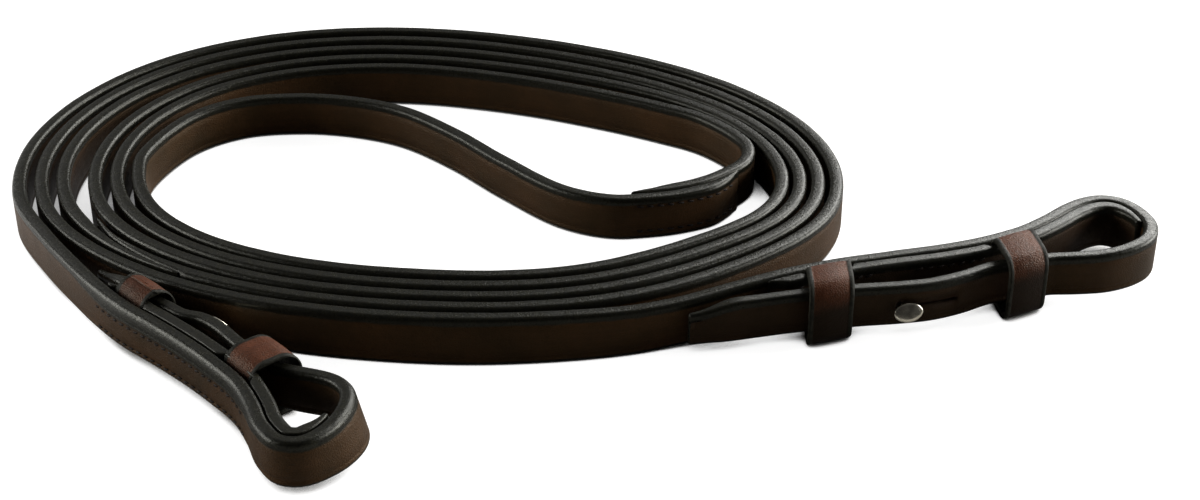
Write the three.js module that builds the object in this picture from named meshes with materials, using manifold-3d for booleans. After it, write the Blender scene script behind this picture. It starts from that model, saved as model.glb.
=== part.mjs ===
// A pair of English leather reins with hook-stud billets, coiled on edge for display.
// Units are millimetres, +Z is up and the reins stand on the plane z = 0.
//
// Two arms of strap meet in a stitched lap near the middle. Each runs out through
// a shared oval spiral and ends in a billet: the strap goes round a bit loop and
// comes back as a tongue, through two fixed keepers and over a hook stud.

import * as THREE from 'three';
import * as BufferGeometryUtils from 'three/addons/utils/BufferGeometryUtils.js';
import Module from 'manifold-3d';

const wasm = await Module();
wasm.setup();

// ---- Driving dimensions ----------------------------------------------------

const STRAP_WIDTH = 13;        // half-inch reins, standing on edge
const STRAP_THICKNESS = 4;
const LINER_THICKNESS = 3.6;
const TONGUE_WIDTH = 12;
const TONGUE_THICKNESS = 3.8;
const FIT_GAP = 0.3;           // between pieces that lie against each other
const BILLET_LIFT = 2.3;       // the billets stand on their keepers
const COIL_STEP = 6;           // length of one facet in the coil
const BILLET_STEP = 2.5;       // length of one facet in a billet

const KEEPER_LENGTH = 12.7;    // along the strap
const KEEPER_HEIGHT = 18.6;
const KEEPER_WALL = 2;
const KEEPER_SKIVED_WALL = 1;  // the end caught between rein and liner
const KEEPER_CORNER = 2.5;
const KEEPER_INNER_CORNER = 0.4;
const KEEPER_GAP = 0.45;       // between a keeper's back and the rein

const STUD_BASE_RADIUS = 4.4;
const STUD_BASE_THICKNESS = 0.8;
const STUD_NECK_RADIUS = 1.25;
const STUD_HEAD_RADIUS = 3.7;
const STUD_HEAD_THICKNESS = 2.2;
const STUD_HEIGHT = BILLET_LIFT + TONGUE_WIDTH / 2;

const TONGUE_TRAVEL = 8;       // how far a tongue slides while the stud is undone
const SLOT_SPARE = 8;          // the slit runs on past that travel

const THREAD_WIDTH = 0.7;
const THREAD_THICKNESS = 0.4;
const STITCH_INSET = 2.4;      // from a strap's edge to its row of stitches
const LAP_LENGTH = 36;
const SPLICE_LENGTH = 42;
const SKIVE = 2.4;             // thickness taken off a skived end
const SKIVE_LENGTH = 14;

// The middle of the whole outline, in the layout's own coordinates.
const LAYOUT_CENTRE = new THREE.Vector2(-8.94, 5.6);

// ---- The oval double spiral ------------------------------------------------

// Half axes of the oval at the start, and their growth for each half turn.
const SPIRAL = {
  centre: new THREE.Vector2(-58.57, 32.06),
  turn: -0.201,
  squareness: 0.038,
  left: [76.24, 6.226],
  right: [107.3, 5.16],
  back: [59.07, 7.17],
  front: [62.5, 5.4],
  spliceRoom: 3.4,
  loopRoom: 0.021,
  flatAt: 329,
  flatWidth: 23,
  flat: [0.068, -0.0085],
};

const smooth = (v) => THREE.MathUtils.smoothstep(v, 0, 1);
const radians = THREE.MathUtils.degToRad;

// A point of the spiral. The right arm runs half a turn behind the left one.
function spiralPoint(degrees, isRightArm) {
  const halfTurns = (degrees - (isRightArm ? 180 : 0)) / 180;
  const cos = Math.cos(radians(degrees));
  const sin = Math.sin(radians(degrees));
  const grown = ([start, growth]) => start + growth * halfTurns;
  const left = grown(SPIRAL.left) + SPIRAL.spliceRoom * smooth(halfTurns - 2);
  const halfLength = cos > 0 ? grown(SPIRAL.right) : left;
  const halfDepth = sin > 0 ? grown(SPIRAL.back) : grown(SPIRAL.front);
  // Every turn is drawn in at its front right, the inner ones most.
  const fromFlat = THREE.MathUtils.euclideanModulo(degrees - SPIRAL.flatAt + 180, 360) - 180;
  const drawnIn = grown(SPIRAL.flat) * Math.exp(-((fromFlat / SPIRAL.flatWidth) ** 2));
  // The right arm bulges a little where the innermost turn presses against it.
  const bulge = isRightArm ? SPIRAL.loopRoom * Math.exp(-(((degrees - 407) / 24) ** 2)) : 0;
  return new THREE.Vector2(
    halfLength * cos * (1 + SPIRAL.squareness * sin * sin),
    halfDepth * sin * (1 + SPIRAL.squareness * cos * cos),
  ).multiplyScalar(1 + bulge - drawnIn).rotateAround(new THREE.Vector2(), SPIRAL.turn).add(SPIRAL.centre);
}

function spiralTurns(from, to, isRightArm, step = 10) {
  const count = Math.round((to - from) / step);
  return Array.from({ length: count + 1 }, (_, i) =>
    spiralPoint(from + ((to - from) * i) / count, isRightArm));
}

// ---- Routes ----------------------------------------------------------------

const points = (list) => list.map(([x, y]) => new THREE.Vector2(x, y));

// A strap's centre line in plan, measured by its arc length.
class Route {
  constructor(list) {
    const line = list.map((p) => new THREE.Vector3(p.x, p.y, 0));
    this.curve = new THREE.CatmullRomCurve3(line, false, 'centripetal');
    this.curve.arcLengthDivisions = 4000;
    this.length = this.curve.getLength();
  }

  at(s) {
    return this.curve.getPointAt(THREE.MathUtils.clamp(s / this.length, 0, 1));
  }

  tangent(s) {
    return this.curve.getTangentAt(THREE.MathUtils.clamp(s / this.length, 0, 1));
  }

  // Unit vector square to the route, towards the right-hand side of travel.
  rightSide(s) {
    const t = this.tangent(s);
    return new THREE.Vector3(t.y, -t.x, 0);
  }

  // Arc length of the place nearest to a plan point, searched between two limits.
  nearest(x, y, from = 0, to = this.length) {
    const target = new THREE.Vector3(x, y, 0);
    let best = from;
    for (let s = from; s <= to; s += 0.25) {
      if (this.at(s).distanceTo(target) < this.at(best).distanceTo(target)) best = s;
    }
    return best;
  }
}

// From the lap, over the S in the middle, out through the coil to the right loop.
const rightRoute = new Route([
  ...points([[41.2, 22.6], [33, 15.8], [23, 11], [13, 8.6], [3, 8], [-10.3, 13.5],
    [-28.1, 31.3], [-44.1, 49.9], [-60.8, 64.9], [-77.6, 72.1], [-94, 74.3],
    [-111.5, 71.3], [-125.3, 60.2]]),
  ...spiralTurns(190, 1020, true),
  ...points([[8, -53], [21.9, -48.6], [36, -42.6], [50, -36.8], [65, -31.6], [80, -27.6],
    [92, -24.6], [104, -20.4], [116, -14.2], [124.2, -7.6], [130.6, -1.6], [136, 2],
    [141, 3.3], [145.6, 1.9], [149, -2.2], [151.1, -8.4], [151, -13.2], [148.8, -18.4],
    [144.2, -22.6], [137, -25.9], [129.5, -27], [122, -27.3]]),
]);

// In the lap the left arm lies behind the right one, one thickness away.
const lapPoints = [LAP_LENGTH, 28, 20, 12, 4].map((s) => {
  const p = rightRoute.at(s).addScaledVector(rightRoute.rightSide(s), STRAP_THICKNESS + FIT_GAP);
  return new THREE.Vector2(p.x, p.y);
});

// From the lap, round the innermost turn and out through the coil to the left loop.
const leftRoute = new Route([
  ...lapPoints,
  ...points([[41.6, 29.8], [43.8, 35.8], [43.6, 42.1], [40.5, 48.8], [36.1, 54.9], [29.8, 61.2], [19, 67.8],
    [4, 75.6]]),
  ...spiralTurns(75, 930, false, 9.5),
  ...points([[-151.2, -15.4], [-140.6, -31.2], [-131.4, -43.7], [-123, -53.2],
    [-112.7, -62.5], [-102.9, -71.8], [-94.4, -80.9], [-87.7, -89.1], [-83.1, -98],
    [-79.4, -107], [-74.6, -113.1], [-69, -113.5], [-63, -107.6], [-59.8, -98.6],
    [-60.4, -92.3], [-64.4, -87], [-72.8, -83.2]]),
]);

// The tongues, from the loop end to the tip.
const rightTongueRoute = new Route(points([[121.3, -27.4], [113, -29.4], [104, -32.2],
  [95.5, -37], [87.4, -40.3], [79, -42], [68.5, -43.3], [59, -44.8], [50.4, -46.5],
  [40, -49], [30, -51.5], [22.8, -53.2]]));
const leftTongueRoute = new Route(points([[-73.1, -83.1], [-78.6, -80.9], [-84, -76.6],
  [-90.6, -69.6], [-97, -61.6], [-101.8, -57.6], [-107, -55.6], [-112, -51.6],
  [-118.2, -46.4], [-125.2, -39.6], [-134, -30.4]]));

// ---- Where things are on each billet ----------------------------------------

// side is +1 where the tongue lies on the right-hand side of travel along the rein.
const RIGHT_BILLET = {
  name: 'right',
  side: 1,
  route: rightRoute,
  tongueRoute: rightTongueRoute,
  slideAngle: 196,
  searchFrom: rightRoute.length - 330,
  keepers: [{ at: [59, -33.4], depth: 14.4 }, { at: [109.6, -17.4], depth: 16.8 }],
  keeperSkew: 0.34,
  stud: [76.4, -28.5],
  linerStart: [43, -39.6],
  linerEnd: [151.2, -10.5],
  coilEnd: [5, -54],
};
const LEFT_BILLET = {
  name: 'left',
  side: -1,
  route: leftRoute,
  tongueRoute: leftTongueRoute,
  slideAngle: 139,
  searchFrom: leftRoute.length - 330,
  keepers: [{ at: [-124.2, -52], depth: 10.8 }, { at: [-91, -84.6], depth: 15.5 }],
  keeperSkew: 0,
  stud: [-107.5, -67.4],
  linerStart: [-130.8, -44.4],
  linerEnd: [-61.3, -104],
  coilEnd: [-165, 12],
};
for (const billet of [RIGHT_BILLET, LEFT_BILLET]) {
  const place = ([x, y]) => billet.route.nearest(x, y, billet.searchFrom);
  billet.keepers.forEach((keeper) => { keeper.s = place(keeper.at); });
  billet.studS = place(billet.stud);
  billet.linerFrom = place(billet.linerStart);
  billet.linerTo = place(billet.linerEnd);
  billet.coilEndS = place(billet.coilEnd);
}

// How far a strap's lower edge stands off the floor: nothing in the coil.
function lift(billet, s) {
  const start = billet.coilEndS;
  const end = billet.keepers[0].s - KEEPER_LENGTH / 2;
  return BILLET_LIFT * smooth((s - start) / (end - start));
}

// The front of the coil leans back: its upper edge moves by this share of height.
function leanShare(billet, s, x, y) {
  const coilLean = 0.15 * smooth((10 - y) / 45) * smooth((95 - x) / 30);
  return coilLean * (1 - smooth((s - billet.coilEndS + 30) / 60));
}

// ---- Straps laid on edge -----------------------------------------------------

// Stations along a strap: coarse in the coil, fine in the billet.
function stations(from, to, fineFrom = to) {
  const list = [];
  const add = (a, b, step) => {
    const count = Math.max(1, Math.round((b - a) / step));
    for (let i = 0; i < count; i += 1) list.push(a + ((b - a) * i) / count);
  };
  const split = THREE.MathUtils.clamp(fineFrom, from, to);
  if (split > from) add(from, split, COIL_STEP);
  if (to > split) add(split, to, BILLET_STEP);
  return [...list, to];
}

// A straight bar bent to lie along a route. inner and outer give the offsets of its
// two faces to the right-hand side, low and high its edges, all along the length.
function laidStrap(route, list, shape, place) {
  const count = list.length - 1;
  const geometry = new THREE.BoxGeometry(count, 1, 1, count, 1, 1);
  const position = geometry.attributes.position;
  for (let i = 0; i < position.count; i += 1) {
    const s = list[Math.round(position.getX(i) + count / 2)];
    const share = position.getY(i) > 0 ? 1 : 0;
    const [faceA, faceB, low, high] = shape(s);
    const z = position.getZ(i) > 0 ? high : low;
    // The box's +Y side becomes the left-hand side, so the solid stays right way out.
    const offset = share === 1 ? Math.min(faceA, faceB) : Math.max(faceA, faceB);
    const p = route.at(s).addScaledVector(route.rightSide(s), offset);
    const { up, back } = place ? place(s, p) : { up: 0, back: 0 };
    position.setXYZ(i, p.x, p.y + back * z, z + up);
  }
  return welded(geometry);
}

// The same mesh with shared vertices and no normals, ready to export or to cut.
function welded(geometry) {
  const bare = geometry.clone();
  bare.deleteAttribute('normal');
  bare.deleteAttribute('uv');
  return BufferGeometryUtils.mergeVertices(bare, 1e-4);
}

// Places a strap point for one arm: the lift and lean at arc length s.
const onArm = (billet) => (s, p) => ({
  up: lift(billet, s),
  back: leanShare(billet, s, p.x, p.y),
});

// ---- Joining and cutting -----------------------------------------------------

function toSolid(geometry) {
  const mesh = welded(geometry);
  return new wasm.Manifold(new wasm.Mesh({
    numProp: 3,
    vertProperties: new Float32Array(mesh.attributes.position.array),
    triVerts: new Uint32Array(mesh.index.array),
  }));
}

function toGeometry(solid) {
  const mesh = solid.getMesh();
  const geometry = new THREE.BufferGeometry();
  geometry.setAttribute('position', new THREE.BufferAttribute(mesh.vertProperties, 3));
  geometry.setIndex(new THREE.BufferAttribute(mesh.triVerts, 1));
  return geometry;
}

// Local frame on a billet at arc length s: y points towards the tongue, z up, and x
// along the rein, towards the loop on the left billet and away from it on the right.
function billetFrame(billet, s, direction = billet.route.tangent(s)) {
  const origin = billet.route.at(s);
  const across = new THREE.Vector3(direction.y, -direction.x, 0).multiplyScalar(billet.side);
  const along = new THREE.Vector3().crossVectors(across, new THREE.Vector3(0, 0, 1));
  return new THREE.Matrix4()
    .makeBasis(along, across, new THREE.Vector3(0, 0, 1))
    .setPosition(origin);
}

// The stud stands square to the direction in which the tongue slides.
function studFrame(billet) {
  const angle = radians(billet.slideAngle + 180);
  const direction = new THREE.Vector3(Math.cos(angle), Math.sin(angle), 0);
  return billetFrame(billet, billet.studS, direction);
}

// A shape drawn with x across the billet and y up, extruded along the rein.
function alongRein(shape, length) {
  const geometry = new THREE.ExtrudeGeometry(shape, {
    depth: length, bevelEnabled: false, curveSegments: 3,
  });
  geometry.translate(0, 0, -length / 2);
  // Shape axes (across, up, along) become (y, z, x).
  const turn = new THREE.Matrix4().set(0, 0, 1, 0, 1, 0, 0, 0, 0, 1, 0, 0, 0, 0, 0, 1);
  return geometry.applyMatrix4(turn);
}

function roundedRect(path, x0, y0, x1, y1, r) {
  path.moveTo(x0 + r, y0);
  path.lineTo(x1 - r, y0);
  path.absarc(x1 - r, y0 + r, r, -Math.PI / 2, 0);
  path.lineTo(x1, y1 - r);
  path.absarc(x1 - r, y1 - r, r, 0, Math.PI / 2);
  path.lineTo(x0 + r, y1);
  path.absarc(x0 + r, y1 - r, r, Math.PI / 2, Math.PI);
  path.lineTo(x0, y0 + r);
  path.absarc(x0 + r, y0 + r, r, Math.PI, Math.PI * 1.5);
  return path;
}

// ---- The pieces ----------------------------------------------------------------

const group = new THREE.Group();
group.position.set(-LAYOUT_CENTRE.x, -LAYOUT_CENTRE.y, 0);

const LEATHER = { color: 0x35231a, roughness: 0.5, metalness: 0 };
const LINING = { color: 0x2a1e17, roughness: 0.65, metalness: 0 };
const KEEPER_LEATHER = { color: 0x4a2c20, roughness: 0.5, metalness: 0 };
const THREAD = { color: 0x1c1410, roughness: 0.8, metalness: 0 };
const NICKEL = { color: 0xc9c2ae, roughness: 0.25, metalness: 1 };

function addPiece(name, geometry, finish) {
  const mesh = new THREE.Mesh(geometry, new THREE.MeshStandardMaterial(finish));
  mesh.name = name;
  group.add(mesh);
}

const HALF = STRAP_THICKNESS / 2;
const billetDetailFrom = (billet) => billet.linerFrom - 25;

// Distance from centre line to free face where a strap's end is skived at the lap.
const skivedFace = (s) => HALF - SKIVE * (1 - smooth(s / SKIVE_LENGTH));

// One continuous strap from the lap to the right bit loop, thinned where it laps.
function rightRein() {
  const { route } = RIGHT_BILLET;
  const shape = (s) => [-skivedFace(s), HALF, 0, STRAP_WIDTH];
  const list = stations(0, route.length, billetDetailFrom(RIGHT_BILLET));
  return laidStrap(route, list, shape, onArm(RIGHT_BILLET));
}

const spliceStart = leftRoute.nearest(-152.5, 42, 900, leftRoute.length - 700);

// The left arm's first length: from the lap to the end of the splice.
function leftReinInner() {
  const shape = (s) => {
    const u = THREE.MathUtils.clamp((s - spliceStart) / SPLICE_LENGTH, 0, 1);
    const cut = -HALF + (2 * HALF - 0.4) * u;
    return [u > 0 ? cut + FIT_GAP / 2 : -skivedFace(s), HALF + 0.4 * u, 0, STRAP_WIDTH];
  };
  const list = stations(0, spliceStart + SPLICE_LENGTH);
  return laidStrap(leftRoute, list, shape, onArm(LEFT_BILLET));
}

// The left arm's second length: from the splice to the left bit loop.
function leftReinOuter() {
  const end = spliceStart + SPLICE_LENGTH;
  const shape = (s) => {
    const u = THREE.MathUtils.clamp((s - spliceStart) / SPLICE_LENGTH, 0, 1);
    const cut = -HALF + (2 * HALF - 0.4) * u - FIT_GAP / 2;
    const tipCurl = 1.1 * (1 - smooth((s - spliceStart) / 14));
    const inner = -HALF - 0.7 * (1 - u) - tipCurl;
    const outer = s > end ? HALF : cut - tipCurl;
    return [inner, outer, 0, STRAP_WIDTH];
  };
  const list = [
    ...stations(spliceStart, end),
    ...stations(end + 2, leftRoute.length, billetDetailFrom(LEFT_BILLET)),
  ];
  return laidStrap(leftRoute, list, shape, onArm(LEFT_BILLET));
}

// The folded-back end of a rein: tapered tip, hole and slit for the stud.
function tongue(billet) {
  const route = billet.tongueRoute;
  const low = BILLET_LIFT;
  const shape = (s) => {
    const fromTip = route.length - s;
    const narrow = 2.6 * (1 - THREE.MathUtils.smoothstep(fromTip, 0, 14));
    const thin = TONGUE_THICKNESS / 2 - 0.9 * (1 - THREE.MathUtils.smoothstep(fromTip, 0, 12));
    return [-thin, thin, low, low + TONGUE_WIDTH - narrow];
  };
  const strap = laidStrap(route, stations(0, route.length, 0), shape);
  const slotWidth = 2 * STUD_NECK_RADIUS + 0.7;
  const slot = new THREE.Shape();
  const far = TONGUE_TRAVEL + SLOT_SPARE;
  const ends = billet.side > 0 ? [-far, slotWidth / 2] : [-slotWidth / 2, far];
  roundedRect(slot, ends[0], -slotWidth / 2, ends[1], slotWidth / 2, slotWidth / 2 - 0.01);
  const cutter = new THREE.ExtrudeGeometry(slot, {
    depth: 40, bevelEnabled: false, curveSegments: 4,
  });
  // The cutter passes across the billet and runs from the stud towards the loop.
  cutter.rotateX(Math.PI / 2).translate(0, 40, STUD_HEIGHT);
  cutter.applyMatrix4(studFrame(billet));
  return toGeometry(toSolid(strap).subtract(toSolid(cutter)));
}

// A keeper: a band round liner and tongue, its skived end behind the liner.
function keeper(billet, { s, depth }) {
  const back = HALF + KEEPER_GAP;
  const outline = roundedRect(new THREE.Shape(), back, 0, back + depth, KEEPER_HEIGHT,
    KEEPER_CORNER);
  outline.holes.push(roundedRect(new THREE.Path(), back + KEEPER_SKIVED_WALL, KEEPER_WALL,
    back + depth - KEEPER_WALL, KEEPER_HEIGHT - KEEPER_WALL,
    KEEPER_INNER_CORNER));
  const band = alongRein(outline, KEEPER_LENGTH);
  // The tongue has dragged the front of the band a little towards the tip.
  const skew = new THREE.Matrix4().makeShear(0, 0, billet.side * billet.keeperSkew, 0, 0, 0);
  const atBack = new THREE.Matrix4().makeTranslation(0, back, 0);
  band.applyMatrix4(atBack.clone().invert()).applyMatrix4(skew).applyMatrix4(atBack);
  return band.applyMatrix4(billetFrame(billet, s));
}

// The inner ply of a billet, let in round the keepers and the stud's base.
function liner(billet) {
  const { route, side, linerFrom, linerTo } = billet;
  const face = HALF + FIT_GAP;
  const shape = (s) => {
    const start = smooth((s - linerFrom) / 6);
    const end = smooth((linerTo - s) / 22);
    const thickness = 0.8 + (LINER_THICKNESS - 0.8) * Math.min(start, end);
    return [side * face, side * (face + thickness), 0, STRAP_WIDTH];
  };
  let solid = toSolid(laidStrap(route, stations(linerFrom, linerTo, 0), shape,
    onArm(billet)));
  for (const { s } of billet.keepers) {
    const recess = new THREE.BoxGeometry(KEEPER_LENGTH + 4 * FIT_GAP,
      2 * (HALF + KEEPER_GAP + KEEPER_SKIVED_WALL + FIT_GAP), 60);
    solid = solid.subtract(toSolid(recess.applyMatrix4(billetFrame(billet, s))));
  }
  const seat = roundPeg(STUD_BASE_RADIUS + FIT_GAP, 0, face + STUD_BASE_THICKNESS + FIT_GAP);
  const hole = roundPeg(STUD_NECK_RADIUS + FIT_GAP, 0, face + 20);
  for (const peg of [seat, hole]) {
    solid = solid.subtract(toSolid(peg.applyMatrix4(studFrame(billet))));
  }
  return toGeometry(solid);
}

// A round peg pointing from the rein towards the tongue, at the stud's height.
function roundPeg(radius, from, to) {
  const geometry = new THREE.CylinderGeometry(radius, radius, to - from, 16);
  return geometry.translate(0, (from + to) / 2, 0).translate(0, 0, STUD_HEIGHT);
}

// A hook stud: base disc, neck and a rounded head that reaches towards the tip.
function hookStud(billet) {
  const base = HALF + FIT_GAP;
  const tongueHere = billet.tongueRoute;
  const foot = billet.route.at(billet.studS);
  const across = new THREE.Vector3().setFromMatrixColumn(studFrame(billet), 1);
  const nearest = tongueHere.at(tongueHere.nearest(foot.x + across.x * 13,
    foot.y + across.y * 13));
  const under = nearest.sub(foot).dot(across) + TONGUE_THICKNESS / 2 + 0.6;
  const profile = [
    [0, base], [STUD_BASE_RADIUS, base], [STUD_BASE_RADIUS, base + STUD_BASE_THICKNESS],
    [STUD_NECK_RADIUS, base + STUD_BASE_THICKNESS + 0.1], [STUD_NECK_RADIUS, under],
    [STUD_HEAD_RADIUS - 0.5, under], [STUD_HEAD_RADIUS, under + 0.6],
    [STUD_HEAD_RADIUS - 0.5, under + 1.4], [STUD_HEAD_RADIUS * 0.6, under + 1.9],
    [0, under + STUD_HEAD_THICKNESS],
  ].map(([r, h]) => new THREE.Vector2(r, h));
  const body = new THREE.LatheGeometry(profile, 20);
  return welded(body).translate(0, 0, STUD_HEIGHT)
    .applyMatrix4(studFrame(billet));
}

// A row of thread lying just off a strap's face, between two arc lengths.
function threadRow(billet, from, to, faceAt, height) {
  const shape = (s) => {
    const face = faceAt(s);
    const direction = Math.sign(face);
    return [face + direction * FIT_GAP, face + direction * (FIT_GAP + THREAD_THICKNESS),
      height - THREAD_WIDTH / 2, height + THREAD_WIDTH / 2];
  };
  return laidStrap(billet.route, stations(from, to), shape, onArm(billet));
}

addPiece('right_rein', rightRein(), LEATHER);
addPiece('left_rein_inner_length', leftReinInner(), LEATHER);
addPiece('left_rein_outer_length', leftReinOuter(), LEATHER);

for (const billet of [RIGHT_BILLET, LEFT_BILLET]) {
  addPiece(`${billet.name}_tongue`, tongue(billet), LEATHER);
  addPiece(`${billet.name}_liner`, liner(billet), LINING);
  addPiece(`${billet.name}_tip_keeper`, keeper(billet, billet.keepers[0]), KEEPER_LEATHER);
  addPiece(`${billet.name}_loop_keeper`, keeper(billet, billet.keepers[1]), KEEPER_LEATHER);
  addPiece(`${billet.name}_hook_stud`, hookStud(billet), NICKEL);
  const rows = { lower: STITCH_INSET, upper: STRAP_WIDTH - STITCH_INSET };
  for (const [row, height] of Object.entries(rows)) {
    const thread = threadRow(billet, billet.linerFrom + 2, billet.keepers[1].s + 14,
      () => -billet.side * HALF, height);
    addPiece(`${billet.name}_${row}_stitch_row`, thread, THREAD);
  }
}

for (const [row, height] of [['lower', STITCH_INSET], ['upper', STRAP_WIDTH - STITCH_INSET]]) {
  const thread = threadRow(RIGHT_BILLET, 8, LAP_LENGTH, (s) => -skivedFace(s), height);
  addPiece(`lap_${row}_stitch_row`, thread, THREAD);
}

export default group;
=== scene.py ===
"""Leather reins with hook-stud billets: the looks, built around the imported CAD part.

Everything is in metres in the part's own frame. Each strap is a ring of points swept
along a route in plan, and the routes are those of the CAD part.
"""
import math

import bmesh
import bpy
import numpy as np
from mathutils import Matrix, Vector, noise


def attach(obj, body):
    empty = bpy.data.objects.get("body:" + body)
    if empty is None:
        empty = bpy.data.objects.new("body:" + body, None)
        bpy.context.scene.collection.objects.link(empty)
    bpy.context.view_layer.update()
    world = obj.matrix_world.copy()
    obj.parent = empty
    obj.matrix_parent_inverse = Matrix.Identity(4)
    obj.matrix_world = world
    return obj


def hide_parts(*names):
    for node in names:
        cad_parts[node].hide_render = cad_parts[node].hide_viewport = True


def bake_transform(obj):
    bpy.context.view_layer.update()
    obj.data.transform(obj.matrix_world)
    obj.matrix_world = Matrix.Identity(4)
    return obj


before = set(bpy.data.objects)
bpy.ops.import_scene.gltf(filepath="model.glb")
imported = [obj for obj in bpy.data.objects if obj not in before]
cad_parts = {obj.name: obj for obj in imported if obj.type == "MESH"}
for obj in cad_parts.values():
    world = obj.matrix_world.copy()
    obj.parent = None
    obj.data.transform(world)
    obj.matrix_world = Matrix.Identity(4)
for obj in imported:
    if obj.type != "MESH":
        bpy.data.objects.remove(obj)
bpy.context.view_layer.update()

MM = 0.001

# ---- Driving dimensions ------------------------------------------------------

STRAP_WIDTH = 13 * MM
HALF = 2 * MM                     # half of a strap's thickness
LINER_THICKNESS = 3.4 * MM
LINER_END = 1.6 * MM              # where it runs out inside the bit loop
TONGUE_WIDTH = 12 * MM
TONGUE_HALF = 1.9 * MM
GAP = 0.3 * MM
BILLET_LIFT = 2.3 * MM
STUD_HEIGHT = 8.3 * MM

KEEPER_LENGTH = 12.7 * MM
KEEPER_BACK_WALL = 1 * MM
KEEPER_GAP = 0.45 * MM

LAP_LENGTH = 36 * MM
SPLICE_LENGTH = 42 * MM
SKIVE = 2.4 * MM                  # how much is pared off at the strap's end
SKIVE_LENGTH = 14 * MM
SKIVE_FEATHER = 0.9 * MM          # and the last of it, over a shorter length
FEATHER_LENGTH = 5 * MM

COIL_LEAN = 0.15                  # the near side of the coil leans back, by height
LOOP_SPLAY = 0.25                 # the foot of the left loop's far wall stands out
SPLAY_REACH = 21 * MM
SPLAY_HEIGHT = 9.5 * MM

LAYOUT_CENTRE = np.array([-0.00894, 0.0056])

# Half axes of the oval spiral at its start, and their growth for each half turn.
SPIRAL_CENTRE = np.array([-0.05857, 0.03206])
SPIRAL_TURN = -0.201
SPIRAL_SQUARENESS = 0.038
SPIRAL_LEFT = (0.07624, 0.006226)
SPIRAL_RIGHT = (0.1073, 0.00516)
SPIRAL_BACK = (0.05907, 0.00717)
SPIRAL_FRONT = (0.0625, 0.0054)
SPIRAL_FLAT = (0.068, -0.0085)    # the share by which it is drawn in at its front right
SPIRAL_FLAT_AT = 329
SPIRAL_FLAT_WIDTH = 23
LOOP_ROOM = 0.021                 # the share by which the right arm clears the lap's bend
LOOP_ROOM_AT = 407
LOOP_ROOM_WIDTH = 24
SPLICE_ROOM = 0.0034              # by which the later turns clear the splice

# ---- Camera --------------------------------------------------------------------------

camera_data = bpy.data.cameras.new("camera")
camera_data.lens = 60.9
camera_data.sensor_width = 36
camera_data.clip_start, camera_data.clip_end = 0.01, 20
camera = bpy.data.objects.new("camera", camera_data)
camera.location = (0.0089, -0.5036, 0.2875)
camera.rotation_euler = (math.radians(60), 0, 0)
bpy.context.scene.collection.objects.link(camera)
bpy.context.scene.camera = camera

# ---- Routes in plan, in the layout's own coordinates --------------------------------

RIGHT_START = [
    (0.0412, 0.0226), (0.033, 0.0158), (0.023, 0.011), (0.013, 0.0086), (0.003, 0.008),
    (-0.0103, 0.0135), (-0.0281, 0.0313), (-0.0441, 0.0499), (-0.0608, 0.0649),
    (-0.0776, 0.0721), (-0.094, 0.0743), (-0.1115, 0.0713), (-0.1253, 0.0602),
]
RIGHT_END = [
    (0.008, -0.053), (0.0219, -0.0486), (0.036, -0.0426), (0.05, -0.0368),
    (0.065, -0.0316), (0.08, -0.0276), (0.092, -0.0246), (0.104, -0.0204),
    (0.116, -0.0142), (0.1242, -0.0076), (0.1306, -0.0016), (0.136, 0.002),
    (0.141, 0.0033), (0.1456, 0.0019), (0.149, -0.0022), (0.1511, -0.0084),
    (0.151, -0.0132), (0.1488, -0.0184), (0.1442, -0.0226), (0.137, -0.0259),
    (0.1295, -0.027), (0.122, -0.0273),
]
LEFT_START = [
    (0.0416, 0.0298), (0.0438, 0.0358), (0.0436, 0.0421), (0.0405, 0.0488),
    (0.0361, 0.0549), (0.0298, 0.0612), (0.019, 0.0678), (0.004, 0.0756),
]
LEFT_END = [
    (-0.1512, -0.0154), (-0.1406, -0.0312), (-0.1314, -0.0437), (-0.123, -0.0532),
    (-0.1127, -0.0625), (-0.1029, -0.0718), (-0.0944, -0.0809), (-0.0877, -0.0891),
    (-0.0831, -0.098), (-0.0794, -0.107), (-0.0746, -0.1131), (-0.069, -0.1135),
    (-0.063, -0.1076), (-0.0598, -0.0986), (-0.0604, -0.0923), (-0.0644, -0.087),
    (-0.0728, -0.0832),
]
RIGHT_TONGUE = [
    (0.1213, -0.0274), (0.113, -0.0294), (0.104, -0.0322), (0.0955, -0.037),
    (0.0874, -0.0403), (0.079, -0.042), (0.0685, -0.0433), (0.059, -0.0448),
    (0.0504, -0.0465), (0.04, -0.049), (0.03, -0.0515), (0.0228, -0.0532),
]
LEFT_TONGUE = [
    (-0.0731, -0.0831), (-0.0786, -0.0809), (-0.084, -0.0766), (-0.0906, -0.0696),
    (-0.097, -0.0616), (-0.1018, -0.0576), (-0.107, -0.0556), (-0.112, -0.0516),
    (-0.1182, -0.0464), (-0.1252, -0.0396), (-0.134, -0.0304),
]


def smooth(v):
    """0 below 0, 1 above 1, and a smooth step between them."""
    v = np.clip(v, 0, 1)
    return v * v * (3 - 2 * v)


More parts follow.
